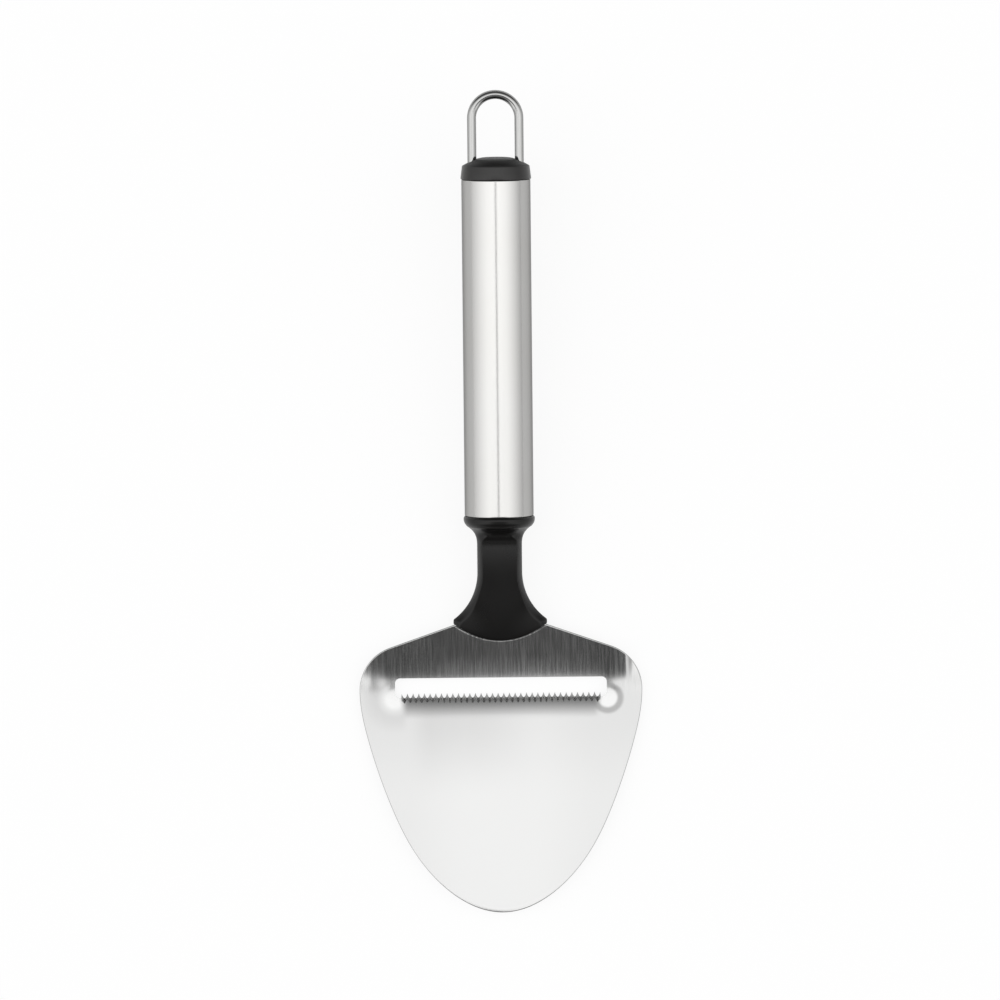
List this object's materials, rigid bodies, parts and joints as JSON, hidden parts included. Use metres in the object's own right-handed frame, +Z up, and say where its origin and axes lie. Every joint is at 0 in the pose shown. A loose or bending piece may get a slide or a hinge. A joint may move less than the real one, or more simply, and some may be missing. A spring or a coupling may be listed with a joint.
{
  "type": "cheese slicer",
  "caption": "Hand-held cheese slicer: a formed steel blade with a serrated slot, a black neck, a tubular steel handle and a wire hanging loop.",
  "frame": {"origin": "on the table, under the middle of the slicer's outline as it lies face up", "axes": "+X across the blade, +Y from the blade's tip to the hanging loop, +Z up, away from the table"},
  "size_m": [0.0822, 0.2382, 0.0291],
  "materials": {
    "blade_steel": "brushed along the slicer, ground at the teeth",
    "tube_steel": "satin brushed along the tube",
    "wire_steel": "polished wire",
    "pin_steel": "plain drawn dowel",
    "black_plastic": "moulded, fine satin",
    "keeper_plastic": "moulded, plain"
  },
  "bodies": {
    "root": {"blade": "blade_steel", "neck": "black_plastic", "tang_pins": "pin_steel", "handle_tube": "tube_steel", "end_cap": "black_plastic", "hanging_loop": "wire_steel", "loop_keeper": "keeper_plastic"}
  },
  "joints": []
}
